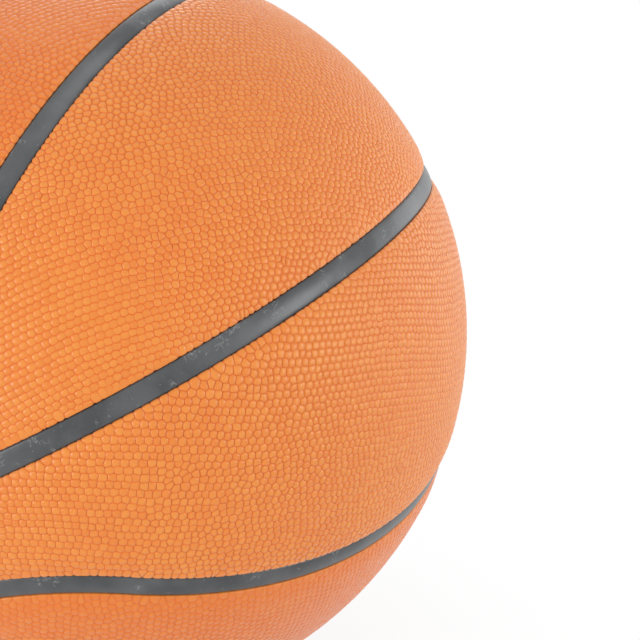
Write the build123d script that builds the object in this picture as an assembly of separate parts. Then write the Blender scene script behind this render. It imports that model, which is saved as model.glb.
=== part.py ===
from build123d import *
import math
import os

# A laminated eight-panel basketball of size 7. From the inside out it is an air bladder with its valve,
# a thread winding, a moulded rubber carcass, rubber channel strips and cover panels of composite leather.
# Millimetres and degrees. The origin is the ball's centre, and +Z goes up through the valve.

# Cover: eight panels with rounded corners and rolled edges
BALL_DIAMETER = 241.0
PANEL_THICKNESS = 2.0
PANEL_CORNER_RADIUS = 2.2
PANEL_EDGE_ROLL = 1.2

# Channel strips, which lie in the gaps between the panels, below their crowns, and are domed across
CHANNEL_WIDTH = 6.35
STRIP_THICKNESS = 1.1
STRIP_DOME = 0.35

# Seam pattern: a loop's long sides lie in planes that tilt up from the belt, and its ends come this near it
LOOP_TILT = 45.0
LOOP_APPROACH = 14.5

# How the pattern lies: a turn about the axis of its loops, then a lean of that axis towards -X
PATTERN_TURN = -25.2
PATTERN_LEAN = 26.4

# Layers under the cover
CARCASS_THICKNESS = 1.2
WINDING_THICKNESS = 0.6
BLADDER_THICKNESS = 0.8

# Valve plug: a self-sealing insert with a head, a retaining ring and a blind hole for the needle
NEEDLE_HOLE_DIAMETER = 2.0
NEEDLE_HOLE_DEPTH = 13.0
NEEDLE_MOUTH_DIAMETER = 3.2
NEEDLE_MOUTH_DEPTH = 0.8
PLUG_SEAL_LENGTH = 3.5
PLUG_DIAMETER = 5.0
PLUG_HEAD_DIAMETER = 6.6
PLUG_HEAD_THICKNESS = 1.0
PLUG_RING_DIAMETER = 6.2
PLUG_RING_WIDTH = 2.0
PLUG_RING_DISTANCE = 6.0

# Valve housing: a rubber cup round the plug, on a flange bonded inside the bladder
HOUSING_WALL = 1.8
HOUSING_FLOOR = 1.5
HOUSING_FLANGE_DIAMETER = 34.0
HOUSING_FLANGE_THICKNESS = 1.2
VALVE_RECESS = 0.4
VALVE_RIM_ROLL = 0.5

# Balance patch: a rubber disc inside the bladder, opposite the valve
PATCH_DIAMETER = 40.0
PATCH_THICKNESS = 1.5

# Clearances, the cement under what is bonded inside the bladder, how far cuts run past the cover,
# and how near counts as on a surface
PLUG_CLEARANCE = 0.05
VALVE_HOLE_CLEARANCE = 0.15
CEMENT_FILM = 0.1
OVERCUT = 3.0
NEAR = 0.001

# Radii of the layers
ball_radius = BALL_DIAMETER / 2
carcass_radius = ball_radius - PANEL_THICKNESS
strip_radius = carcass_radius + STRIP_THICKNESS
winding_radius = carcass_radius - CARCASS_THICKNESS
bladder_radius = winding_radius - WINDING_THICKNESS
cavity_radius = bladder_radius - BLADDER_THICKNESS
bonded_radius = cavity_radius - CEMENT_FILM
half_width = CHANNEL_WIDTH / 2

# Diameters and levels of the valve
valve_top = ball_radius - VALVE_RECESS
plug_length = NEEDLE_HOLE_DEPTH + PLUG_SEAL_LENGTH
socket_diameter = PLUG_DIAMETER + 2 * PLUG_CLEARANCE
head_seat_diameter = PLUG_HEAD_DIAMETER + 2 * PLUG_CLEARANCE
ring_seat_diameter = PLUG_RING_DIAMETER + 2 * PLUG_CLEARANCE
housing_diameter = max(head_seat_diameter, ring_seat_diameter) + 2 * HOUSING_WALL
valve_hole_diameter = housing_diameter + 2 * VALVE_HOLE_CLEARANCE

# A loop is two arcs of great circles, joined by end arcs of a small circle that is tangent to both
tilt_sine = math.sin(math.radians(LOOP_TILT))
tilt_cosine = math.cos(math.radians(LOOP_TILT))
approach_sine = math.sin(math.radians(LOOP_APPROACH))
approach_cosine = math.cos(math.radians(LOOP_APPROACH))
end_radius = math.degrees(math.atan2(approach_sine * tilt_cosine, 1 - approach_cosine * tilt_cosine))
end_centre = LOOP_APPROACH + end_radius
end_tangent = math.tan(math.radians(end_centre))
side_half_sweep = 90 - math.degrees(math.atan(end_tangent * tilt_sine))
end_half_sweep = math.degrees(math.acos(math.tan(math.radians(end_radius)) / end_tangent))

# The pattern's own axes: Z is the axis of the loops, X the axis of the ring, and ring and belt cross on Y
ring_axis = Vector(1, 0, 0)
crossing = Vector(0, 1, 0)
loop_axis = Vector(0, 0, 1)
pattern_pose = Rot(0, -PATTERN_LEAN, 0) * Rot(0, 0, PATTERN_TURN)


def band(start, axis, sweep, inner, outer, dome=0):
    """A channel's section at start, between two radii, swept about an axis through the ball's centre.

    A dome lowers the outer edges by that much, and the middle stays.
    """
    across = axis.cross(start).cross(start).normalized() * half_width
    inner_rise = start * math.sqrt(inner**2 - half_width**2)
    outer_rise = start * math.sqrt((outer - dome) ** 2 - half_width**2)
    outline = [
        ThreePointArc(inner_rise - across, start * inner, inner_rise + across),
        Line(inner_rise + across, outer_rise + across),
        ThreePointArc(outer_rise + across, start * outer, outer_rise - across),
        Line(outer_rise - across, inner_rise - across),
    ]
    return Solid.revolve(Face(Wire(outline)), sweep, Axis((0, 0, 0), axis))


def circle_band(axis, *section):
    """The whole band of the great circle about an axis, from two half turns that meet at the crossings."""
    halves = [band(start, axis, 180, *section) for start in (crossing, -crossing)]
    return halves[0] + halves[1]


def loop_side(right_left, up_down, *section):
    """The band of one long side of a loop: 1 for the right or upper, -1 for the left or lower."""
    middle = Vector(right_left * tilt_cosine, 0, up_down * tilt_sine)
    axis = Vector(-right_left * up_down * tilt_sine, 0, tilt_cosine)
    start = middle.rotate(Axis((0, 0, 0), axis), -side_half_sweep)
    return band(start, axis, 2 * side_half_sweep, *section)


def loop_end(back_front, up_down, *section):
    """The band of one end of a loop, across the ring: 1 for the back or upper, -1 for the front or lower."""
    rise = Axis((0, 0, 0), ring_axis * back_front * up_down)
    axis = (crossing * back_front).rotate(rise, end_centre)
    nearest = (crossing * back_front).rotate(rise, LOOP_APPROACH)
    start = nearest.rotate(Axis((0, 0, 0), axis), -end_half_sweep)
    return band(start, axis, 2 * end_half_sweep, *section)


def loop_band(up_down, *section):
    """The closed band of the upper loop, or of the lower for an up_down of -1."""
    sides = [loop_side(right_left, up_down, *section) for right_left in (1, -1)]
    ends = [loop_end(back_front, up_down, *section) for back_front in (1, -1)]
    return sides[0].fuse(sides[1], *ends)


def shell(outer, inner, equator=Plane.XY):
    """A closed hollow sphere, with its poles on the equator's axis."""
    return Solid.make_sphere(outer, equator) - Solid.make_sphere(inner, equator)


def round_bar(diameter, top, length):
    """A round bar on the valve's axis, from its top down."""
    return Pos(0, 0, top - length / 2) * Cylinder(diameter / 2, length)


def dished_disc(diameter, outer, thickness):
    """A round patch about the valve's axis that follows the sphere outer from within, off its poles."""
    return round_bar(diameter, outer, outer) & shell(outer, outer - thickness, Plane.XZ)


def side_name(solid):
    """right or left of the ring, in the pattern's axes."""
    return "right" if solid.center().X > 0 else "left"


def quarter_name(solid):
    """upper or lower of the belt, and right or left of the ring."""
    height = "upper" if solid.center().Z > 0 else "lower"
    return f"{height}_{side_name(solid)}"


def on_ball(edge):
    """True for an edge that lies on the ball's outer sphere."""
    return all(abs((edge @ at).length - ball_radius) < NEAR for at in (0, 0.3, 0.5, 1))


def on_ring_wall(edge):
    """True for an edge that lies in a wall of the ring's channel."""
    return all(abs(abs((edge @ at).X) - half_width) < NEAR for at in (0, 0.5, 1))


def goes_through(edge):
    """True for an edge that runs from a panel's inside to its outside."""
    return abs((edge @ 0).length - (edge @ 1).length) > PANEL_THICKNESS / 2


def channel_strips():
    """The rubber strips on the carcass: a whole ring, and halves of the belt and loops that end at its wall.

    Half turns about the pattern's axes take the right half of the belt and of the upper loop to the others.
    """
    section = (carcass_radius, strip_radius, STRIP_DOME)
    reach = ball_radius + OVERCUT
    beside_ring = Pos(half_width + reach / 2, 0, 0) * Box(reach, 2 * reach, 2 * reach)
    half_belt = circle_band(loop_axis, *section) & beside_ring
    ends = [(loop_end(back_front, 1, *section) & beside_ring).solid() for back_front in (1, -1)]
    half_loop = loop_side(1, 1, *section).fuse(*ends)
    strips = {"channel_ring": circle_band(ring_axis, *section)}
    for turn in (Rot(0, 0, 0), Rot(0, 0, 180)):
        belt = turn * half_belt
        strips[f"channel_belt_{side_name(belt)}"] = belt
    for turn in (Rot(0, 0, 0), Rot(0, 0, 180), Rot(180, 0, 0), Rot(0, 180, 0)):
        loop = turn * half_loop
        strips[f"channel_loop_{quarter_name(loop)}"] = loop
    return strips


def cover_panels():
    """The cover cut along every channel, with rounded corners at the ring and rolled outer edges."""
    depth = (carcass_radius - OVERCUT, ball_radius + OVERCUT)
    cuts = [
        circle_band(ring_axis, *depth),
        circle_band(loop_axis, *depth),
        loop_band(1, *depth),
        loop_band(-1, *depth),
    ]
    panels = {}
    for blank in shell(ball_radius, carcass_radius).cut(*cuts).solids():
        corners = [edge for edge in blank.edges() if on_ring_wall(edge) and goes_through(edge)]
        rounded = blank.fillet(PANEL_CORNER_RADIUS, corners)
        panel = rounded.fillet(PANEL_EDGE_ROLL, [edge for edge in rounded.edges() if on_ball(edge)])
        kind = "cap" if abs(panel.center().Z) > abs(panel.center().X) else "belt"
        panels[f"panel_{kind}_{quarter_name(panel)}"] = panel
    return panels


def with_valve_hole(panel):
    """A placed panel, with the valve's hole and its rolled rim if the valve stands in this one."""
    holed = panel - round_bar(valve_hole_diameter, ball_radius + OVERCUT, ball_radius)
    rim = [
        edge
        for edge in holed.edges().filter_by(GeomType.CIRCLE)
        if on_ball(edge) and abs(edge.radius - valve_hole_diameter / 2) < NEAR
    ]
    return holed.solid().fillet(VALVE_RIM_ROLL, rim) if rim else holed


def layer(outer, thickness):
    """A closed layer of the ball's body, with the valve housing's hole cut away from its poles."""
    hole = round_bar(valve_hole_diameter, outer + OVERCUT, outer)
    return shell(outer, outer - thickness, Plane.XZ) - hole


def valve_housing():
    """A cup round the plug, with seats for its head and ring, on a flange that follows the bladder."""
    socket_depth = plug_length + PLUG_CLEARANCE
    cup = round_bar(housing_diameter, valve_top, socket_depth + HOUSING_FLOOR)
    flange = dished_disc(HOUSING_FLANGE_DIAMETER, bonded_radius, HOUSING_FLANGE_THICKNESS)
    socket = round_bar(socket_diameter, valve_top, socket_depth)
    head_seat = round_bar(head_seat_diameter, valve_top, PLUG_HEAD_THICKNESS + PLUG_CLEARANCE)
    ring_seat = round_bar(
        ring_seat_diameter,
        valve_top - PLUG_RING_DISTANCE + PLUG_CLEARANCE,
        PLUG_RING_WIDTH + 2 * PLUG_CLEARANCE,
    )
    return cup + flange - socket - head_seat - ring_seat


def valve_plug():
    """The insert: a flat head, a shank with its ring, and a blind needle hole with a flared mouth."""
    shank = round_bar(PLUG_DIAMETER, valve_top, plug_length)
    head = round_bar(PLUG_HEAD_DIAMETER, valve_top, PLUG_HEAD_THICKNESS)
    ring = round_bar(PLUG_RING_DIAMETER, valve_top - PLUG_RING_DISTANCE, PLUG_RING_WIDTH)
    hole = round_bar(NEEDLE_HOLE_DIAMETER, valve_top, NEEDLE_HOLE_DEPTH)
    flare = Cone(NEEDLE_HOLE_DIAMETER / 2, NEEDLE_MOUTH_DIAMETER / 2, NEEDLE_MOUTH_DEPTH)
    return shank + head + ring - hole - Pos(0, 0, valve_top - NEEDLE_MOUTH_DEPTH / 2) * flare


pieces = {
    "bladder": layer(bladder_radius, BLADDER_THICKNESS),
    "thread_winding": layer(winding_radius, WINDING_THICKNESS),
    "carcass": layer(carcass_radius, CARCASS_THICKNESS),
    "valve_housing": valve_housing(),
    "valve_plug": valve_plug(),
    "balance_patch": Rot(180, 0, 0) * dished_disc(PATCH_DIAMETER, bonded_radius, PATCH_THICKNESS),
}
for name, strip in channel_strips().items():
    pieces[name] = pattern_pose * strip
for name, panel in cover_panels().items():
    pieces[name] = with_valve_hole(pattern_pose * panel)

os.makedirs("parts", exist_ok=True)
for name, piece in pieces.items():
    export_step(piece, f"parts/{name}.step")
    print(name, len(piece.solids()), round(piece.volume))
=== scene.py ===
import math
from typing import NamedTuple

import bpy
import numpy as np
from mathutils import Matrix, Vector
from mathutils.geometry import delaunay_2d_cdt


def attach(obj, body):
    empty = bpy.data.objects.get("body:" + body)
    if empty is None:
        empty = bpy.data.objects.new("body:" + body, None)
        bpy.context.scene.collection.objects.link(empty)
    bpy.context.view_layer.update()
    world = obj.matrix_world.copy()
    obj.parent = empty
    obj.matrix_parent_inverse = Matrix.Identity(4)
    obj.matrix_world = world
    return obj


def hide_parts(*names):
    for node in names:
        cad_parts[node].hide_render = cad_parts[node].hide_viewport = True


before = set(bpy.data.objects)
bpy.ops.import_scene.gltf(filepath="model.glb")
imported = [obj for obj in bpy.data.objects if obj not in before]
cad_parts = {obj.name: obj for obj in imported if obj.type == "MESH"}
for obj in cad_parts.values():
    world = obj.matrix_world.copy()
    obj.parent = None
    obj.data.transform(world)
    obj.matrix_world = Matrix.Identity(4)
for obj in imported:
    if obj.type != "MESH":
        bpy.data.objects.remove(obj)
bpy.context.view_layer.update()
MM = 0.001


# Bladder and balance patch
# The bladder is a bag of butyl rubber that holds the air, moulded in one piece and dusted with talc.
# The patch is a disc of the same rubber, cemented inside it opposite the valve to balance it.

BLOOM_SIZE = 14 * MM
SPECK_SIZE = 0.7 * MM
GRAIN_DEPTH = 0.05 * MM


class Wire:
    """An output of a shader node. Sums and products of wires and numbers add their own Math nodes."""

    def __init__(self, tree, socket=None):
        self.tree = tree
        self.socket = socket

    def node(self, kind, settings=None, sockets=None, out=0):
        """The output of a new node of this kind: its settings are set first, then its sockets."""
        made = self.tree.nodes.new(kind)
        for name, value in (settings or {}).items():
            setattr(made, name, value)
        for name, value in (sockets or {}).items():
            if isinstance(value, Wire):
                self.tree.links.new(value.socket, made.inputs[name])
            else:
                made.inputs[name].default_value = value
        return Wire(self.tree, made.outputs[out])

    def maths(self, operation, other=0.0):
        """A Math node of this operation on the wire and another wire or number."""
        return self.node("ShaderNodeMath", {"operation": operation}, {0: self, 1: other})

    def __add__(self, other):
        return self.maths("ADD", other)

    def __sub__(self, other):
        return self.maths("SUBTRACT", other)

    def __rsub__(self, other):
        return self.node("ShaderNodeMath", {"operation": "SUBTRACT"}, {0: other, 1: self})

    def __mul__(self, other):
        return self.maths("MULTIPLY", other)

    __radd__ = __add__
    __rmul__ = __mul__

    def noise(self, size, detail=2.0):
        """Noise about 0.5 whose blobs are of this size."""
        sockets = {"Vector": self, "Scale": 1 / size, "Detail": detail}
        return self.node("ShaderNodeTexNoise", {}, sockets, "Fac")

    def rise(self, low, high):
        """0 below low, 1 above high and a soft step between them."""
        sockets = {"Value": self, "From Min": low, "From Max": high}
        return self.node("ShaderNodeMapRange", {"interpolation_type": "SMOOTHSTEP"}, sockets)

    def tint(self, first, second):
        """The first colour where this is 0 and the second where it is 1."""
        return self.node("ShaderNodeMix", {"data_type": "RGBA"}, {"Factor": self, 6: first, 7: second}, 2)


def colour(red, green, blue):
    """A linear colour from the 0 to 255 values that it has on a screen."""
    parts = [value / 255 for value in (red, green, blue)]
    linear = [part / 12.92 if part < 0.04045 else ((part + 0.055) / 1.055) ** 2.4 for part in parts]
    return (*linear, 1.0)


def new_finish(name):
    """A material, and a wire with the place on the part that is shaded, in metres."""
    material = bpy.data.materials.new(name)
    material.use_nodes = True
    return material, Wire(material.node_tree).node("ShaderNodeTexCoord", out="Object")


def put_on(material, tone, roughness, height, depth):
    """Feeds a finish's shader: its colour, its roughness, and a bump of this height wire and depth."""
    shader = material.node_tree.nodes["Principled BSDF"]
    bump = tone.node("ShaderNodeBump", {}, {"Height": height, "Distance": depth})
    for socket, wire in (("Base Color", tone), ("Roughness", roughness), ("Normal", bump)):
        material.node_tree.links.new(wire.socket, shader.inputs[socket])


def moulded_rubber(name, dark, pale, least_roughness, grain):
    """Rubber from a mould: a fine grain of this size, slow clouds of bloom, and a few pale specks."""
    material, place = new_finish(name)
    clouds = place.noise(BLOOM_SIZE, 4).rise(0.35, 0.75)
    specks = place.noise(SPECK_SIZE).rise(0.68, 0.76)
    tone = (clouds * 0.7 + specks * 0.3).tint(dark, pale)
    roughness = clouds * 0.18 + specks * 0.1 + least_roughness
    height = place.noise(grain, 3) + clouds * 0.5
    put_on(material, tone, roughness, height, GRAIN_DEPTH)
    return material


def dress(node, material):
    """Puts a finish on a node of the frame, in place of its plain one."""
    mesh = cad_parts[node].data
    mesh.materials.clear()
    mesh.materials.append(material)


butyl_rubber = moulded_rubber("butyl_rubber", colour(38, 37, 37), colour(78, 76, 74), 0.5, 0.3 * MM)
patch_rubber = moulded_rubber("patch_rubber", colour(52, 50, 49), colour(92, 90, 88), 0.55, 0.4 * MM)
dress("bladder", butyl_rubber)
dress("balance_patch", patch_rubber)


# Valve
# A rubber cup is bonded into the bladder, and a self-sealing plug of softer rubber sits in it.
# Both stand just below the cover, and the plug has the flared hole that the needle goes into.

HOUSING_EDGE = 0.15 * MM
PLUG_EDGE = 0.12 * MM
SHARP_ANGLE = math.radians(40)


def soften_edges(node, width):
    """Rounds a node's sharp edges a little, as a mould leaves them."""
    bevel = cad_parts[node].modifiers.new("soft_edges", "BEVEL")
    bevel.width = width
    bevel.segments = 3
    bevel.limit_method = "ANGLE"
    bevel.angle_limit = SHARP_ANGLE
    bevel.harden_normals = True


housing_rubber = moulded_rubber("housing_rubber", colour(34, 34, 35), colour(66, 66, 67), 0.45, 0.25 * MM)
plug_rubber = moulded_rubber("plug_rubber", colour(44, 43, 42), colour(84, 82, 80), 0.4, 0.2 * MM)
dress("valve_housing", housing_rubber)
dress("valve_plug", plug_rubber)
soften_edges("valve_housing", HOUSING_EDGE)
soften_edges("valve_plug", PLUG_EDGE)


# Thread winding
# Nylon thread, wound over the bladder in great circles at every slant and set in latex.
# It keeps the ball round, and the moulded carcass hides it.

THREAD_PITCH = 0.9 * MM
THREAD_DEPTH = 0.15 * MM
LAYER_SIZE = 9 * MM
SLANTS = ((0.2, 0.5, 0.84), (0.9, -0.3, 0.32), (-0.4, 0.86, 0.3), (0.55, 0.6, -0.58))


def wound_thread():
    """Crossing turns of pale thread, one over the other, with latex in the gaps."""
    material, place = new_finish("wound_thread")
    ridges = []
    for slant in SLANTS:
        sockets = {0: place, 1: slant}
        along = place.node("ShaderNodeVectorMath", {"operation": "DOT_PRODUCT"}, sockets, "Value")
        turns = (along * (2 * math.pi / THREAD_PITCH)).maths("SINE")
        ridges.append(turns * 0.5 + place.noise(LAYER_SIZE) * 1.5)
    height = ridges[0]
    for ridge in ridges[1:]:
        height = height.maths("MAXIMUM", ridge)
    thread = height.rise(0.6, 1.3)
    tone = thread.tint(colour(176, 160, 122), colour(228, 220, 198))
    roughness = 0.75 - thread * 0.2
    put_on(material, tone, roughness, height, THREAD_DEPTH)
    return material


dress("thread_winding", wound_thread())


# Carcass
# A layer of black rubber moulded over the winding. It carries the panels and the channel strips,
# which are cemented to it and cover it all.

carcass_rubber = moulded_rubber("carcass_rubber", colour(40, 39, 38), colour(70, 68, 66), 0.7, 0.5 * MM)
dress("carcass", carcass_rubber)


# Channel strips
# Ribbons of charcoal rubber, cemented to the carcass between the panels: a whole ring, and the belt and
# the two loops, which butt against the ring and are cut in half by it. Their faces are domed across.

BALL_RADIUS = 120.5 * MM
CARCASS_RADIUS = 118.5 * MM
STRIP_RADIUS = 119.6 * MM
CHANNEL_HALF_WIDTH = 6.35 * MM / 2
STRIP_DOME = 0.35 * MM
CREVICE_DEPTH = 0.4 * MM
STRIP_STEP = 1.0 * MM
STRIP_SHARP_ANGLE = math.radians(50)

# Half of a strip's section: shares of its half width, and how far the edge is turned down there
FACE_SHARES = ((0, 0), (0.3, 0), (0.55, 0), (0.75, 0), (0.87, 0.06), (0.94, 0.35), (1, 1))
BACK_SHARES = (1, 0.5, 0, -0.5, -1)

# The sizes of what their finish shows
RIPPLE_SIZE = 5 * MM
RIPPLE_DEPTH = 0.12 * MM
DULL_PATCH_SIZE = 14 * MM
CURL_SIZE = 1.8 * MM
SCUFFED_PATCH_SIZE = 6 * MM
DUST_SIZE = 0.6 * MM
MARK_SIZE = 0.7 * MM
MARKED_STRETCH = 20 * MM
STRIP_GRAIN = 0.5 * MM

# The seam pattern's own axes: Z is the axis of the loops, X of the ring, and ring and belt cross on Y
LOOP_TILT = math.radians(45)
LOOP_APPROACH = math.radians(14.5)
PATTERN_LEAN = math.radians(-26.4)
PATTERN_SPIN = math.radians(-25.2)
pattern_pose = np.array(Matrix.Rotation(PATTERN_LEAN, 3, "Y") @ Matrix.Rotation(PATTERN_SPIN, 3, "Z"))

# A loop's long sides are great circles, and its ends are arcs of a small circle tangent to both
end_radius = math.atan2(
    math.sin(LOOP_APPROACH) * math.cos(LOOP_TILT), 1 - math.cos(LOOP_APPROACH) * math.cos(LOOP_TILT)
)
end_centre = LOOP_APPROACH + end_radius
side_half_sweep = math.pi / 2 - math.atan(math.tan(end_centre) * math.sin(LOOP_TILT))
end_half_sweep = math.acos(math.tan(end_radius) / math.tan(end_centre))

# Half turns about the pattern's axes take the upper right strips and panels to the other three quarters
quarters = {
    "upper_right": np.diag([1, 1, 1]),
    "upper_left": np.diag([-1, -1, 1]),
    "lower_right": np.diag([1, -1, -1]),
    "lower_left": np.diag([-1, 1, -1]),
}


def arc(axis, start, angles):
    """Points on the unit sphere: start turned about the axis by each angle."""
    axis = np.asarray(axis, float)
    start = np.asarray(start, float)
    level = axis * (axis @ start)
    out = start - level
    return level + np.outer(np.cos(angles), out) + np.outer(np.sin(angles), np.cross(axis, out))


def steps(first, last, radius):
    """Angles from first to last, close enough for a smooth strip on a circle of this angular radius."""
    length = abs(last - first) * math.sin(radius) * BALL_RADIUS
    return np.linspace(first, last, max(3, math.ceil(length / STRIP_STEP) + 1))


def ring_line(offset):
    """The ring's line at this angle to its right, once round."""
    angles = steps(0, 2 * math.pi, math.pi / 2)[:-1]
    return arc((1, 0, 0), (math.sin(offset), math.cos(offset), 0), angles)


def belt_line(offset):
    """The right half of the belt, from the ring's one wall to its other, at this angle below it."""
    gap = math.asin(CHANNEL_HALF_WIDTH / STRIP_RADIUS / math.cos(offset))
    angles = steps(gap, math.pi - gap, math.pi / 2)
    return arc((0, 0, -1), (0, math.cos(offset), -math.sin(offset)), angles)


def loop_line(offset):
    """The right half of the upper loop between the ring's walls, at this angle out from it."""
    back = np.array([0, math.cos(end_centre), math.sin(end_centre)])
    nearest = np.array([0, math.cos(LOOP_APPROACH - offset), math.sin(LOOP_APPROACH - offset)])
    gap = math.asin(CHANNEL_HALF_WIDTH / STRIP_RADIUS / math.sin(end_radius + offset))
    end = arc(-back, nearest, steps(gap, end_half_sweep, end_radius))
    middle = (math.cos(LOOP_TILT - offset), 0, math.sin(LOOP_TILT - offset))
    side_axis = (-math.sin(LOOP_TILT), 0, math.cos(LOOP_TILT))
    side = arc(side_axis, middle, -steps(-side_half_sweep, side_half_sweep, math.pi / 2))
    far_end = (end * (1, -1, 1))[::-1]
    return np.concatenate([end, side[1:-1], far_end])


def strip_mesh(name, line, closed):
    """A ribbon along a line: a domed face with turned-down edges, two sides and a back, with closed ends."""
    half_angle = math.asin(CHANNEL_HALF_WIDTH / STRIP_RADIUS)
    section = []
    for share, turned_down in FACE_SHARES:
        section.append((share, STRIP_RADIUS - STRIP_DOME * share**2 - CREVICE_DEPTH * turned_down))
    section = [(-share, radius) for share, radius in section[:0:-1]] + section
    section += [(share, CARCASS_RADIUS) for share in BACK_SHARES]
    lines = np.array([line(share * half_angle) * radius for share, radius in section])
    across, along = lines.shape[:2]
    number = np.arange(across * along).reshape(across, along)
    faces = []
    for one in range(across):
        other = (one + 1) % across
        for here in range(along if closed else along - 1):
            there = (here + 1) % along
            faces.append((number[one, here], number[one, there], number[other, there], number[other, here]))
    if not closed:
        faces.append(tuple(number[:, 0]))
        faces.append(tuple(number[::-1, -1]))
    mesh = bpy.data.meshes.new(name)
    mesh.from_pydata(lines.reshape(-1, 3).tolist(), [], [tuple(map(int, face)) for face in faces])
    mesh.shade_smooth()
    mesh.set_sharp_from_angle(angle=STRIP_SHARP_ANGLE)
    face_line = lines[across // 2]
    length = np.linalg.norm(np.diff(face_line, axis=0, prepend=face_line[:1]), axis=1).cumsum()
    length = np.minimum(length, length[-1] - length) if closed else length
    mesh.attributes.new("along", "FLOAT", "POINT").data.foreach_set("value", np.tile(length, across))
    return mesh


def strip_rubber():
    """Satin charcoal rubber, with shallow ripples, curly scuffs, pale specks and faint marks across."""
    material, place = new_finish("channel_rubber")
    along = place.node("ShaderNodeAttribute", {"attribute_name": "along"}, out="Fac")
    lengthwise = along.node("ShaderNodeCombineXYZ", {}, {"X": along})
    dull = place.noise(DULL_PATCH_SIZE, 4).rise(0.3, 0.7)
    curl = place.noise(CURL_SIZE) - 0.5
    near_curl = 1 - curl.maths("ABSOLUTE").rise(0.01, 0.035)
    scuffs = near_curl * place.noise(SCUFFED_PATCH_SIZE, 3).rise(0.56, 0.64)
    dust = place.noise(DUST_SIZE).rise(0.7, 0.76)
    marks = lengthwise.noise(MARK_SIZE).rise(0.62, 0.72) * place.noise(MARKED_STRETCH).rise(0.5, 0.62)
    worn = scuffs * 0.45 + dust * 0.4 + dull * 0.2 + marks * 0.12
    tone = worn.tint(colour(60, 63, 66), colour(152, 155, 156))
    roughness = dull * 0.1 + scuffs * 0.2 + 0.28
    grain = place.noise(STRIP_GRAIN) * 0.12
    height = place.noise(RIPPLE_SIZE, 3) + grain + scuffs * 0.1 - marks * 0.15
    put_on(material, tone, roughness, height, RIPPLE_DEPTH)
    return material


def add_piece(name, mesh, turn, material, node):
    """A piece in place: its mesh, made in the pattern's axes, turned to its quarter and with the pattern."""
    pose = Matrix((pattern_pose @ turn).tolist()).to_4x4()
    mesh.transform(pose)
    mesh.materials.append(material)
    piece = bpy.data.objects.new(name, mesh)
    bpy.context.scene.collection.objects.link(piece)
    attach(piece, "root")
    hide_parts(node)


charcoal = strip_rubber()
ring = strip_mesh("strip_ring", ring_line, True)
add_piece("strip_ring", ring, quarters["upper_right"], charcoal, "channel_ring")
for side in ("right", "left"):
    belt = strip_mesh(f"strip_belt_{side}", belt_line, False)
    turn = quarters[f"upper_{side}"]
    add_piece(f"strip_belt_{side}", belt, turn, charcoal, f"channel_belt_{side}")
for quarter, turn in quarters.items():
    loop = strip_mesh(f"strip_loop_{quarter}", loop_line, False)
    add_piece(f"strip_loop_{quarter}", loop, turn, charcoal, f"channel_loop_{quarter}")


# Cover panels
# Eight panels of orange composite leather: four caps inside the loops and four belts beside the middle seam.
# A roller embosses their pebbles, and they are die-cut and pressed on so that their edges roll down.

CORNER_RADIUS = 2.2 * MM
PILLOW_DEPTH = 0.9 * MM
PILLOW_WIDTH = 8.0 * MM
EDGE_ROLL = 0.5 * MM
EDGE_LIP = 0.35 * MM
EDGE_NOTCH = 0.28 * MM
LIP_SHARES = (0.3, 0.6, 0.85, 0.97, 1.0)
LIP_FADE = 0.7
VALVE_HOLE_RADIUS = 5.3 * MM
VALVE_RIM_ROLL = 0.5 * MM
VALVE_LIP = 0.25 * MM

# How pebbles are scattered: rows that sway, and a mess in them that comes and goes over the panel
WAVES = 5
WAVE_GAIN = 1.6
ROWS_REACH = 1.3
ROW_SWAY = 1.1 * MM
SWAY_SIZE = 55 * MM
PITCH_SPREAD = 0.18
MESS_SIZE = 90 * MM
MESS_CONTRAST = 1.4
MESS_LEVEL = 0.75
LEAST_JITTER = 0.16 * MM
MESSY_JITTER = 0.2 * MM
ROW_PULL = 0.7
CELL_PULL = 0.7
PULL_ROUNDS = 2
SLIDE_ROUNDS = 3
FIELD_MARGIN = 0.8 * MM
MIRROR_REACH = 4.0 * MM

# The valleys between pebbles, and the pebbles' own form
SHORTEST_SIDE = 0.3 * MM
SPLIT_SIDE = 1.4 * MM
SPLIT_BORDER = 0.75 * MM
GROOVE_WANDER = 0.06 * MM
FULL_VALLEY = 0.32 * MM
BORDER_DEPTH = 0.05 * MM
DEPTH_SPREAD = (0.85, 1.1)
ROW_SHALLOWER = (0.3, 0.95)
ORDER_SHALLOWER = 0.1
MERGED_SHARE = 0.04
MERGED_DEPTH = 0.4
CORNER_SHARE = 1.5
LARGEST_INSET = 0.5
SHOULDER_TINT = 0.12
TOP_SHARE = 0.62
TOP_DEPTH = 0.03 * MM
UNEVEN_DEPTH = 0.05 * MM
PLAIN_TONE = 0.5
BACK_STEP = 9 * MM
BACK_TINT = 0.8
CHART_GAP = 4 * MM

# The sizes of what their finish shows
FADED_PATCH_SIZE = 30 * MM
LEATHER_GRAIN = 0.25 * MM
DIMPLE_SIZE = 0.9 * MM
DIMPLE_DEPTH = 0.05 * MM
VALLEY_TINT_PATCH_SIZE = 4 * MM

half_channel = math.asin(CHANNEL_HALF_WIDTH / STRIP_RADIUS) * BALL_RADIUS
valve_way = np.array([0, 0, 1]) @ pattern_pose
panel_length = np.array([0, 1, 0])


def beside_ring(points):
    """How far points of the unit sphere lie inside the ring channel's right wall, along the ball."""
    return np.arcsin(points[:, 0].clip(-1, 1)) * BALL_RADIUS - half_channel


def beside_belt(points):
    """How far they lie above the belt channel's upper wall."""
    return np.arcsin(points[:, 2].clip(-1, 1)) * BALL_RADIUS - half_channel


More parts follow.
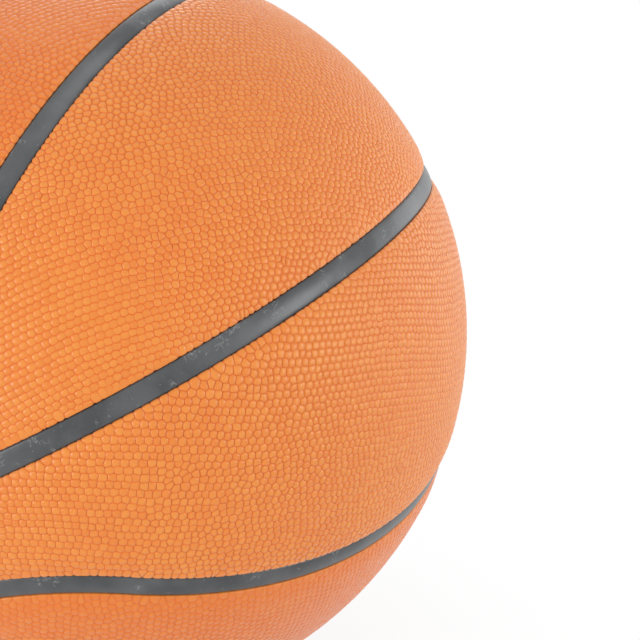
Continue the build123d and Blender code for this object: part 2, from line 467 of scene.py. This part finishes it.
def into_loop(points):
    """How far they lie inside the middle line of the upper loop."""
    side_axis = np.array([-math.sin(LOOP_TILT), 0, math.cos(LOOP_TILT)])
    angle = np.arcsin((points @ side_axis).clip(-1, 1))
    for way in (1, -1):
        centre = np.array([0, way * math.cos(end_centre), math.sin(end_centre)])
        split = np.cross(centre, side_axis)
        split *= np.sign(split[1]) * way
        at_end = end_radius - np.arccos((points @ centre).clip(-1, 1))
        angle = np.where(points @ split > 0, at_end, angle)
    return angle * BALL_RADIUS


def inside_loop(points):
    """How far they lie inside the wall of the loop's channel."""
    return into_loop(points) - half_channel


def outside_loop(points):
    """How far they lie outside the wall of the loop's channel."""
    return -into_loop(points) - half_channel


def clear_of_valve(points):
    """How far they lie outside the valve's hole."""
    return np.arccos((points @ valve_way).clip(-1, 1)) * BALL_RADIUS - VALVE_HOLE_RADIUS


def from_walls(walls, points):
    """How far points lie inside a panel's walls, with its corners at the ring rounded."""
    ring = walls[0](points)
    rest = np.min([wall(points) for wall in walls[1:]], axis=0)
    reach = np.hypot((CORNER_RADIUS - ring).clip(0), (CORNER_RADIUS - rest).clip(0))
    return np.where(reach > 0, CORNER_RADIUS - reach, np.minimum(ring, rest))


def rolled(distances, roll):
    """How far an edge that is rolled to this radius lies below the crown, at distances from its wall."""
    return roll - np.sqrt(roll**2 - np.clip(roll - distances, 0, roll) ** 2)


def drawn_down(distances):
    """How far a panel lies below its crown near a wall: it sinks towards the channel and rolls over."""
    pillow = PILLOW_DEPTH * (1 - np.clip(distances / PILLOW_WIDTH, 0, 1)) ** 2
    return pillow + rolled(distances, EDGE_ROLL)


def unit(points):
    """Each row of points at length 1."""
    return points / np.linalg.norm(points, axis=1)[:, None]


def way_out(field, points):
    """The directions along the ball in which a field falls fastest."""
    nudge = 1e-5
    slope = [field(points + axis * nudge) - field(points - axis * nudge) for axis in np.eye(3)]
    slope = np.array(slope).T
    slope -= points * (slope * points).sum(1)[:, None]
    return -unit(slope)


def moved(points, ways, distances):
    """Points of the unit sphere, moved along the ball."""
    return unit(points + ways * np.asarray(distances)[:, None] / BALL_RADIUS)


class Emboss(NamedTuple):
    """How one sheet's pebbles lie, how deep its valleys are, where its shoulders lie, and its tone, lowered
    on the caps as painted shade.
    """

    lean: float
    row_pitch: float
    pebble_pitch: float
    order: float
    valley_depth: float
    shoulder_inset: float
    shoulder_depth: float
    tone: float


class Panel(NamedTuple):
    """One panel: its walls, the ring's first, its middle, its embossing, and whether the valve is in it."""

    walls: list
    middle: np.ndarray
    emboss: Emboss
    holed: bool = False

    def field(self, points):
        """How far points lie inside the area that the pebbles cover."""
        distance = from_walls(self.walls, points) - EDGE_LIP
        return np.minimum(distance, clear_of_valve(points) - VALVE_LIP) if self.holed else distance

    def borders(self):
        """The same measure for each wall by itself."""
        alone = [lambda points, wall=wall: wall(points) - EDGE_LIP for wall in self.walls]
        if self.holed:
            alone.append(lambda points: clear_of_valve(points) - VALVE_LIP)
        return alone

    def drop(self, points):
        """How far the panel lies below its crown at points."""
        sunk = drawn_down(from_walls(self.walls, points))
        return np.maximum(sunk, rolled(clear_of_valve(points), VALVE_RIM_ROLL)) if self.holed else sunk

    def row_pole(self):
        """The axis of the rows of pebbles, which lean from the panel's length."""
        lean = self.emboss.lean
        return np.cross(panel_length, self.middle) * math.cos(lean) - panel_length * math.sin(lean)

    def chart(self, points):
        """Points laid flat by a projection that keeps circles round, and so keeps neighbours."""
        across = np.cross(panel_length, self.middle)
        scale = 2 * BALL_RADIUS / (1 + points @ self.middle)
        return np.stack([points @ across * scale, points @ panel_length * scale], axis=1)


def slow_wave(points, size, draws):
    """A smooth field between about -1 and 1, with hills of this size."""
    ways = unit(draws.normal(size=(WAVES, 3)))
    phases = draws.uniform(0, 2 * math.pi, WAVES)
    return np.sin(points @ ways.T * (BALL_RADIUS * 2 * math.pi / size) + phases).mean(1) * WAVE_GAIN


def scattered_pebbles(panel, seed, draws):
    """Pebbles all over a half of the ball, in wavy rows: their places, rows and how orderly each is."""
    emboss = panel.emboss
    pole = panel.row_pole()
    start = np.cross(pole, panel.middle)
    count = int(ROWS_REACH * BALL_RADIUS / emboss.row_pitch)
    points = []
    rows = []
    for row in range(-count, count + 1):
        height = row * emboss.row_pitch / BALL_RADIUS
        number = round(2 * math.pi * math.cos(height) * BALL_RADIUS / emboss.pebble_pitch)
        turns = (np.arange(number) + draws.uniform()) * 2 * math.pi / number
        turns += draws.uniform(-PITCH_SPREAD, PITCH_SPREAD, number) * 2 * math.pi / number
        level = np.outer(np.cos(turns), panel.middle) + np.outer(np.sin(turns), start)
        points.append(level * math.cos(height) + pole * math.sin(height))
        rows.append(np.full(number, row))
    points = np.concatenate(points)
    sway = slow_wave(points, SWAY_SIZE, draws) * ROW_SWAY
    points = moved(points, np.tile(pole, (len(points), 1)), sway)
    mess = slow_wave(points, MESS_SIZE, np.random.default_rng(seed)) * MESS_CONTRAST + MESS_LEVEL
    mess = mess.clip(0, 1)
    jitter = (LEAST_JITTER + MESSY_JITTER * mess) / BALL_RADIUS
    points = unit(points + draws.normal(size=points.shape) * jitter[:, None])
    return points, np.concatenate(rows), (1 - mess) * emboss.order


def with_mirrors(points, borders):
    """The pebbles, and after them their mirror images in each border that is near."""
    images = []
    for border in borders:
        distance = border(points)
        near = (distance > 0) & (distance < MIRROR_REACH)
        images.append(moved(points[near], way_out(border, points[near]), 2 * distance[near]))
    return np.concatenate([points] + images)


def triangles_between(flat, fence=()):
    """Triangles between neighbouring points of a plane, with the fence's lines among their sides."""
    least_gap = 1e-9
    made = delaunay_2d_cdt([Vector(place) for place in flat.tolist()], list(fence), [], 0, least_gap)
    source = np.array([origins[0] for origins in made[3]])
    return source[np.array(made[2])]


def cells(points, panel):
    """Triangles between neighbours, and the middle of the circle round each, in order round each point."""
    triangles = triangles_between(panel.chart(points))
    first, second, third = (points[triangles[:, corner]] for corner in range(3))
    centres = unit(np.cross(second - first, third - first))
    centres *= np.sign((centres * first).sum(1))[:, None]
    owner = triangles.ravel()
    which = np.repeat(np.arange(len(triangles)), 3)
    offset = centres[which] - points[owner]
    off_axis = (0.3, 0.5, 0.8)
    east = unit(np.cross(off_axis, points[owner]))
    north = np.cross(points[owner], east)
    angle = np.arctan2((offset * north).sum(1), (offset * east).sum(1))
    order = np.lexsort((angle, owner))
    starts = np.searchsorted(owner[order], np.arange(len(points) + 1))
    return triangles, centres, which[order], starts


def laid_pebbles(panel, seed, draws):
    """The pebbles of a panel, drawn in from its border and each towards the middle of its own cell."""
    points, rows, order = scattered_pebbles(panel, seed, draws)
    kept = panel.field(points) > FIELD_MARGIN / 4
    points = points[kept]
    outside = (panel.field(points) - FIELD_MARGIN).clip(None, 0)
    points = moved(points, way_out(panel.field, points), outside)
    for _ in range(PULL_ROUNDS):
        everyone = with_mirrors(points, panel.borders())
        _, centres, around, starts = cells(everyone, panel)
        sums = np.add.reduceat(centres[around], starts[:-1], axis=0)
        points = unit(points + CELL_PULL * (unit(sums[: len(points)]) - points))
    return points, rows[kept], order[kept]


def in_rows(triangles, centres, points, rows, order, pole):
    """The corners between two rows, drawn to the line midway between them where the pebbles are orderly."""
    real = (triangles < len(rows)).all(1)
    row = np.where(real[:, None], rows[np.minimum(triangles, len(rows) - 1)], 0)
    low = row.min(1)
    between = real & (row.max(1) == low + 1)
    upper = row == (low + 1)[:, None]
    height = points[triangles] @ pole
    above = (height * upper).sum(1) / np.maximum(upper.sum(1), 1)
    below = (height * ~upper).sum(1) / np.maximum((~upper).sum(1), 1)
    pull = np.where(real, order[np.minimum(triangles, len(rows) - 1)].mean(1), 0) * between * ROW_PULL
    shift = ((above + below) / 2 - centres @ pole) * pull
    return unit(centres + pole * shift[:, None])


def joined_corners(triangles, centres):
    """The number of the corner that each triangle's centre becomes when short sides shrink to a point."""
    group = list(range(len(triangles)))

    def head(one):
        while group[one] != one:
            one = group[one]
        return one

    sides = {}
    for number, triangle in enumerate(triangles.tolist()):
        for corner in range(3):
            pair = frozenset((triangle[corner], triangle[corner - 1]))
            other = sides.setdefault(pair, number)
            if other != number:
                gap = np.linalg.norm(centres[number] - centres[other]) * BALL_RADIUS
                if gap < SHORTEST_SIDE:
                    group[head(number)] = head(other)
    return np.array([head(one) for one in range(len(group))])


def valley_network(panel, pebbles, rows, order):
    """The corners where valleys meet, each pebble's loop of corners, and the pebble beside each side."""
    everyone = with_mirrors(pebbles, panel.borders())
    triangles, centres, around, starts = cells(everyone, panel)
    centres = in_rows(triangles, centres, everyone, rows, order, panel.row_pole())
    corner_of = joined_corners(triangles, centres)
    total = np.zeros_like(centres)
    np.add.at(total, corner_of, centres)
    corners = unit(np.where(np.linalg.norm(total, axis=1)[:, None] > 0, total, centres))
    loops = []
    sides = {}
    for pebble in range(len(pebbles)):
        ring = corner_of[around[starts[pebble]:starts[pebble + 1]]].tolist()
        ring = [corner for place, corner in enumerate(ring) if corner != ring[place - 1]]
        loops.append(ring)
        for place, corner in enumerate(ring):
            sides[(ring[place - 1], corner)] = pebble
    return corners, loops, sides


def valley_depths(emboss, sides, rows, order, draws):
    """Each side's depth: shallow between neighbours of a row, and slight where two pebbles run together."""
    depth_of = {}
    for side, pebble in sides.items():
        other = sides.get(side[::-1])
        if other is None:
            depth_of[frozenset(side)] = BORDER_DEPTH
        elif pebble < other:
            depth = emboss.valley_depth * draws.uniform(*DEPTH_SPREAD)
            depth *= 1 - ORDER_SHALLOWER * order[pebble]
            if rows[pebble] == rows[other]:
                depth *= 1 - order[pebble] * draws.uniform(*ROW_SHALLOWER)
            if draws.uniform() < MERGED_SHARE:
                depth *= MERGED_DEPTH
            depth_of[frozenset(side)] = depth
    return depth_of


def within(outlines, places):
    """Whether places in a plane lie inside closed outlines, of which one may be a hole in another."""
    inside = np.zeros(len(places), bool)
    for outline in outlines:
        for here, there in zip(outline, np.roll(outline, 1, axis=0)):
            along = there - here
            offset = places - here
            beside = along[0] * offset[:, 1] > along[1] * offset[:, 0]
            spanned = (here[1] > places[:, 1]) != (there[1] > places[:, 1])
            inside ^= spanned & (beside == (along[1] > 0))
    return inside


class Cover:
    """The growing mesh of one panel: unit directions, heights above the crown, and what the finish reads."""

    def __init__(self, panel, draws):
        self.panel = panel
        self.draws = draws
        self.ways = []
        self.heights = []
        self.valleys = []
        self.tones = []
        self.laid_out = []
        self.faces = []
        self.corner_vertex = {}
        self.between = {}

    def add(self, way, height, valley, tone=PLAIN_TONE, laid_out=None):
        """A new vertex, which the flat layout may show at another place than its own."""
        self.laid_out.append(way if laid_out is None else laid_out)
        self.ways.append(way)
        self.heights.append(height)
        self.valleys.append(valley)
        self.tones.append(tone)
        return len(self.ways) - 1

    def add_valleys(self, corners, sides, depth_of):
        """The beds of the valleys: a vertex at each corner, and more along long sides and the border."""
        deepest = {}
        for side, depth in depth_of.items():
            for corner in side:
                deepest[corner] = max(deepest.get(corner, 0), depth)
        for corner, depth in deepest.items():
            self.corner_vertex[corner] = self.add(corners[corner], -depth, depth / FULL_VALLEY)
        for side in sides:
            pair = tuple(sorted(side))
            if pair not in self.between:
                outer = side[::-1] not in sides
                depth = depth_of[frozenset(side)]
                ways = self.split_side(corners[pair[0]], corners[pair[1]], outer)
                self.between[pair] = [self.add(way, -depth, depth / FULL_VALLEY) for way in ways]

    def split_side(self, first, last, outer):
        """The points that part a side: closely along the border, and a wandering one in a long valley."""
        length = np.linalg.norm(first - last) * BALL_RADIUS
        parts = math.ceil(length / SPLIT_BORDER) if outer else (2 if length > SPLIT_SIDE else 1)
        if parts < 2:
            return []
        shares = np.arange(1, parts)[:, None] / parts
        ways = unit(first * (1 - shares) + last * shares)
        if outer:
            return moved(ways, way_out(self.panel.field, ways), self.panel.field(ways))
        return unit(ways + self.draws.normal(size=ways.shape) * (GROOVE_WANDER / BALL_RADIUS))

    def stretch(self, start, end):
        """The vertices from one corner of a loop to just before the next."""
        inner = self.between[tuple(sorted((start, end)))]
        return [self.corner_vertex[start]] + (inner if start < end else inner[::-1])

    def add_pebble(self, loop):
        """A pebble in its loop of valleys: steep sides up to its shoulders, a gentle slope and a flat top."""
        emboss = self.panel.emboss
        outline = []
        insets = []
        for place, corner in enumerate(loop):
            run = self.stretch(loop[place - 1], corner)
            outline += run
            insets += [emboss.shoulder_inset * CORNER_SHARE] + [emboss.shoulder_inset] * (len(run) - 1)
        rim = np.array([self.ways[vertex] for vertex in outline])
        tone = emboss.tone + self.draws.uniform()
        sink = -UNEVEN_DEPTH * self.draws.uniform() ** 2
        inward = unit(rim.mean(0)[None])[0] - rim
        shares = np.array(insets) / BALL_RADIUS / np.linalg.norm(inward, axis=1)
        shoulder_ways = unit(rim + inward * np.minimum(shares, LARGEST_INSET)[:, None])
        top_ways = unit(rim + inward * TOP_SHARE)[::2]
        shoulder = [self.add(way, sink - emboss.shoulder_depth, SHOULDER_TINT, tone) for way in shoulder_ways]
        top = [self.add(way, sink - TOP_DEPTH, 0.0, tone) for way in top_ways]
        count = len(outline)
        for place in range(count):
            after = (place + 1) % count
            self.faces.append((outline[place], outline[after], shoulder[after], shoulder[place]))
            if place % 2 == 0 and after:
                self.faces.append((shoulder[place], shoulder[after], top[place // 2]))
            else:
                self.faces.append((shoulder[place], shoulder[after], top[after // 2], top[place // 2]))
        if len(top) > 2:
            self.faces.append(tuple(top))

    def follow_edges(self):
        """Lets the pebbles near the walls sink with the panel's edge."""
        self.heights = list(np.array(self.heights) - self.panel.drop(np.array(self.ways)))

    def rims(self, border):
        """The vertices of the border in order: once round the panel, and once round any hole in it."""
        onward = {}
        for start, end in border:
            run = self.stretch(start, end) + [self.corner_vertex[end]]
            onward.update(zip(run, run[1:]))
        rims = []
        while onward:
            start = next(iter(onward))
            rim = [start]
            while onward[rim[-1]] != start:
                rim.append(onward.pop(rim[-1]))
            onward.pop(rim[-1])
            rims.append(rim)
        return rims

    def add_edge(self, rim):
        """The rolled edge outside a rim, notched by the valleys, and its wall down to the carcass."""
        ways = np.array([self.ways[vertex] for vertex in rim])
        valleys = np.array([self.valleys[vertex] for vertex in rim])
        out = way_out(self.panel.field, ways)
        at_valve = self.panel.holed and clear_of_valve(ways[:1])[0] < 2 * VALVE_LIP
        lip = VALVE_LIP if at_valve else EDGE_LIP
        notches = valleys.clip(0, 1) * (0 if at_valve else EDGE_NOTCH)
        rows_down = []
        for share in LIP_SHARES:
            left = lip * (1 - share)
            sunk = rolled(left, VALVE_RIM_ROLL) if at_valve else drawn_down(left)
            rows_down.append((share * lip, -sunk, 1 - LIP_FADE * share))
        for radius in (STRIP_RADIUS - STRIP_DOME - CREVICE_DEPTH, CARCASS_RADIUS):
            rows_down.append((lip, radius - BALL_RADIUS, 0.0))
        above = rim
        for outward, height, fade in rows_down:
            spots = moved(ways, out, outward - notches * outward / lip)
            flat_spots = moved(ways, out, np.full(len(ways), outward - height))
            below = []
            for way, valley, flat_spot in zip(spots, valleys * fade, flat_spots):
                below.append(self.add(way, height - valley * FULL_VALLEY, valley, laid_out=flat_spot))
            for place in range(len(rim)):
                after = (place + 1) % len(rim)
                self.faces.append((above[after], above[place], below[place], below[after]))
            above = below
        return above

    def add_back(self, rims, inner):
        """A plain sheet on the carcass inside the lowest rims, with a few inner points to follow the ball."""
        outline = [vertex for rim in rims for vertex in rim]
        place_of = {vertex: number for number, vertex in enumerate(outline)}
        loops = [[place_of[vertex] for vertex in rim] for rim in rims]
        fence = [(loop[place - 1], corner) for loop in loops for place, corner in enumerate(loop)]
        flat = self.panel.chart(np.concatenate([[self.ways[vertex] for vertex in outline], inner]))
        outline += [self.add(way, CARCASS_RADIUS - BALL_RADIUS, BACK_TINT) for way in inner]
        triangles = triangles_between(flat, fence)
        inside = within([flat[loop] for loop in loops], flat[triangles].mean(1))
        for triangle in triangles[inside].tolist():
            self.faces.append(tuple(outline[corner] for corner in reversed(triangle)))

    def mesh(self, name, back_start):
        """The mesh, smooth outside and flat-faced at the back, with the attributes that the finish reads."""
        spots = np.array(self.ways) * (BALL_RADIUS + np.array(self.heights))[:, None]
        mesh = bpy.data.meshes.new(name)
        mesh.from_pydata(spots.tolist(), [], [tuple(map(int, face)) for face in self.faces])
        mesh.shade_smooth()
        mesh.polygons.foreach_set("use_smooth", np.arange(len(mesh.polygons)) < back_start)
        for label, values in (("valley", self.valleys), ("tone", self.tones)):
            attribute = mesh.attributes.new(label, "FLOAT", "POINT")
            attribute.data.foreach_set("value", np.array(values, np.float32))
        return mesh

    def lay_out(self, mesh, back_start):
        """The mesh's map: the outer side and its edges laid flat, and the back at half size beside them."""
        front = self.panel.chart(np.array(self.laid_out))
        behind = self.panel.chart(np.array(self.ways)) / 2
        behind[:, 0] += front[:, 0].max() - behind[:, 0].min() + CHART_GAP
        corners = np.zeros(len(mesh.loops), int)
        mesh.loops.foreach_get("vertex_index", corners)
        on_back = np.arange(len(corners)) >= mesh.polygons[back_start].loop_start
        laid = np.where(on_back[:, None], behind[corners], front[corners])
        laid = (laid - laid.min(0)) / (laid.max(0) - laid.min(0)).max()
        mesh.uv_layers.new(name="OFBake").data.foreach_set("uv", laid.astype(np.float32).ravel())


def pebbled_panel(name, panel, seed):
    """The mesh of one panel: pebbles with valleys between them, rolled edges, walls and a back."""
    draws = np.random.default_rng(seed)
    pebbles, rows, order = laid_pebbles(panel, seed, draws)
    corners, loops, sides = valley_network(panel, pebbles, rows, order)
    border = [side for side in sides if side[::-1] not in sides]

    # Corners on the border of the pebbles slide onto its line
    on_border = np.array(sorted({corner for side in border for corner in side}))
    for _ in range(SLIDE_ROUNDS):
        spots = corners[on_border]
        corners[on_border] = moved(spots, way_out(panel.field, spots), panel.field(spots))

    cover = Cover(panel, draws)
    cover.add_valleys(corners, sides, valley_depths(panel.emboss, sides, rows, order, draws))
    for loop in loops:
        cover.add_pebble(loop)
    cover.follow_edges()
    lowest = [cover.add_edge(rim) for rim in cover.rims(border)]
    back_start = len(cover.faces)
    every = int((BACK_STEP / panel.emboss.pebble_pitch) ** 2)
    cover.add_back(lowest, pebbles[panel.field(pebbles) > BACK_STEP / 3][::every])
    mesh = cover.mesh(name, back_start)
    cover.lay_out(mesh, back_start)
    return mesh


def pebbled_leather():
    """Orange composite leather: flat satin pebbles of slightly different tones, and darker, redder valleys:
    pigment and painted shade.
    """
    material, place = new_finish("cover_leather")
    valley = place.node("ShaderNodeAttribute", {"attribute_name": "valley"}, out="Fac")
    tone = place.node("ShaderNodeAttribute", {"attribute_name": "tone"}, out="Fac")
    faded = place.noise(FADED_PATCH_SIZE, 3)
    grain = place.noise(LEATHER_GRAIN, 3)
    paleness = tone * 0.3 + faded * 0.35 + grain * 0.25 + 0.03
    top = paleness.rise(0.0, 1.0).tint(colour(232, 122, 38), colour(240, 149, 60))
    # The valleys' darker, redder colour is partly the leather's deeper pigment and partly painted shade.
    low = place.noise(VALLEY_TINT_PATCH_SIZE).tint(colour(233, 102, 12), colour(238, 107, 22))
    deep = valley.rise(0.2, 0.95)
    blend = (deep * 0.85).tint(top, low)
    roughness = grain * 0.16 + faded * 0.1 + deep * 0.25 + 0.2
    height = grain + place.noise(DIMPLE_SIZE) * 0.6
    put_on(material, blend, roughness, height, DIMPLE_DEPTH)
    shader = material.node_tree.nodes["Principled BSDF"]
    shader.inputs["Sheen Weight"].default_value = 0.3
    shader.inputs["Sheen Roughness"].default_value = 0.4
    return material


# Each sheet of leather comes off the roller with its own rows
in_lines = Emboss(
    lean=math.radians(34),
    row_pitch=1.86 * MM,
    pebble_pitch=2.12 * MM,
    order=0.9,
    valley_depth=0.42 * MM,
    shoulder_inset=0.18 * MM,
    shoulder_depth=0.17 * MM,
    tone=0.35,
)
# Painted shade: the caps' lower tone paints them redder and darker, though all the panels are one leather.
in_lines_shaded_redder = in_lines._replace(tone=-0.6)
like_honeycomb = Emboss(
    lean=math.radians(20),
    row_pitch=2.04 * MM,
    pebble_pitch=2.2 * MM,
    order=0.4,
    valley_depth=0.42 * MM,
    shoulder_inset=0.15 * MM,
    shoulder_depth=0.14 * MM,
    tone=0.35,
)
slanting = Emboss(
    lean=math.radians(78),
    row_pitch=2.0 * MM,
    pebble_pitch=2.2 * MM,
    order=0.6,
    valley_depth=0.3 * MM,
    shoulder_inset=0.2 * MM,
    shoulder_depth=0.09 * MM,
    # Painted shade: the lower caps' lower tone paints them redder and darker.
    tone=-0.8,
)

CAP_LEAN = 0.36
leather = pebbled_leather()
cap_middle = np.array([math.sin(CAP_LEAN), 0, math.cos(CAP_LEAN)])
belt_middle = np.array([math.cos(LOOP_TILT / 2), 0, math.sin(LOOP_TILT / 2)])
cap_walls = [beside_ring, inside_loop]
belt_walls = [beside_ring, beside_belt, outside_loop]
plain_cap = Panel(cap_walls, cap_middle, slanting)
valve_cap = Panel(cap_walls, cap_middle, in_lines_shaded_redder, holed=True)
cap = pebbled_panel("cover_cap", plain_cap, seed=11)
cap_with_hole = pebbled_panel("cover_cap_valve", valve_cap, seed=12)
upper_belt = pebbled_panel("cover_belt_upper", Panel(belt_walls, belt_middle, in_lines), seed=1689)
lower_belt = pebbled_panel("cover_belt_lower", Panel(belt_walls, belt_middle, like_honeycomb), seed=1323)
for quarter, turn in quarters.items():
    cap_mesh = cap_with_hole if quarter == "upper_right" else cap.copy()
    belt_mesh = (upper_belt if quarter.startswith("upper") else lower_belt).copy()
    add_piece(f"cover_cap_{quarter}", cap_mesh, turn, leather, f"panel_cap_{quarter}")
    add_piece(f"cover_belt_{quarter}", belt_mesh, turn, leather, f"panel_belt_{quarter}")
for spare in (cap, upper_belt, lower_belt):
    bpy.data.meshes.remove(spare)


# Studio
# A plain floor that the camera sees as white and that keeps the ball's soft shadow, a white room, and five
# soft lamps: two in front, two behind and one above. The camera stands where the photograph was taken from.

FLOOR_SIZE = 6.0
SHADOW_REACH = 0.22
SHADOW_STRENGTH = 0.12
ROOM_LIGHT = 0.56
PICTURE_WIDTH = 640
FOCAL_LENGTH = 1482.25
SENSOR_WIDTH = 36
CAMERA_PLACE = (72.35 * MM, -475.48 * MM, 122.37 * MM)
CAMERA_PITCH = math.radians(-14.006)


def seen_directly(tree):
    """1 where the camera sees a surface, also in a mirror or through glass, and 0 for light that bounces."""
    rays = ("Is Camera Ray", "Is Glossy Ray", "Is Transmission Ray")
    camera, mirror, glass = (Wire(tree).node("ShaderNodeLightPath", out=ray) for ray in rays)
    return camera.maths("MAXIMUM", mirror.maths("MAXIMUM", glass))


def floor_paint():
    """White paint, lit like any surface, and mostly glowing white where it is seen directly."""
    material = bpy.data.materials.new("studio_floor")
    material.use_nodes = True
    tree = material.node_tree
    shader = tree.nodes["Principled BSDF"]
    shader.inputs["Base Color"].default_value = (0.9, 0.9, 0.9, 1)
    shader.inputs["Roughness"].default_value = 0.9
    shader.inputs["Specular IOR Level"].default_value = 0.0
    seen = seen_directly(tree)
    glow = seen.node("ShaderNodeEmission", {}, {"Color": (1, 1, 1, 1), "Strength": 1.0})
    paint = Wire(tree, shader.outputs[0])
    place = seen.node("ShaderNodeTexCoord", {}, {}, "Object")
    distance = place.node("ShaderNodeVectorMath", {"operation": "LENGTH"}, {0: place}, "Value")
    far = distance.rise(BALL_RADIUS, SHADOW_REACH)
    white = 1 - (1 - far) * SHADOW_STRENGTH
    both = seen.node("ShaderNodeMixShader", {}, {0: seen * white, 1: paint, 2: glow})
    tree.links.new(both.socket, tree.nodes["Material Output"].inputs["Surface"])
    return material


def lamp(name, place, size, power):
    """A square soft lamp that faces the ball, of this size in metres and power in watts."""
    light = bpy.data.lights.new(name, "AREA")
    light.size = size
    light.energy = power
    holder = bpy.data.objects.new(name, light)
    holder.location = place
    holder.rotation_euler = Vector(place).to_track_quat("Z", "Y").to_euler()
    bpy.context.scene.collection.objects.link(holder)


floor_mesh = bpy.data.meshes.new("studio_floor")
half = FLOOR_SIZE / 2
ground = -BALL_RADIUS
floor_corners = [(-half, -half, ground), (half, -half, ground), (half, half, ground), (-half, half, ground)]
floor_mesh.from_pydata(floor_corners, [], [(0, 1, 2, 3)])
floor_mesh.materials.append(floor_paint())
floor = bpy.data.objects.new("studio_floor", floor_mesh)
bpy.context.scene.collection.objects.link(floor)

room = bpy.data.worlds.new("white_room")
room.use_nodes = True
bpy.context.scene.world = room
seen = seen_directly(room.node_tree)
strength = seen * (1 - ROOM_LIGHT) + ROOM_LIGHT
sky = room.node_tree.nodes["Background"]
sky.inputs["Color"].default_value = (1, 1, 1, 1)
room.node_tree.links.new(strength.socket, sky.inputs["Strength"])

lamp("left_lamp", (-0.92, -0.92, 0.15), 0.5, 7.2)
lamp("right_lamp", (1.18, -0.45, 0.15), 0.5, 4.6)
lamp("rim_lamp", (0.9, 0.6, 0.2), 0.5, 1.1)
lamp("back_lamp", (-0.1, 0.9, 0.7), 0.6, 2.2)
lamp("top_lamp", (0.1, -0.1, 1.3), 0.5, 1.8)

camera = bpy.data.cameras.new("photo_camera")
camera.sensor_width = SENSOR_WIDTH
camera.lens = SENSOR_WIDTH * FOCAL_LENGTH / PICTURE_WIDTH
camera.clip_start = 10 * MM
stand = bpy.data.objects.new("photo_camera", camera)
stand.location = CAMERA_PLACE
stand.rotation_euler = (math.pi / 2 + CAMERA_PITCH, 0, 0)
bpy.context.scene.collection.objects.link(stand)
bpy.context.scene.camera = stand
bpy.context.scene.view_settings.view_transform = "Standard"
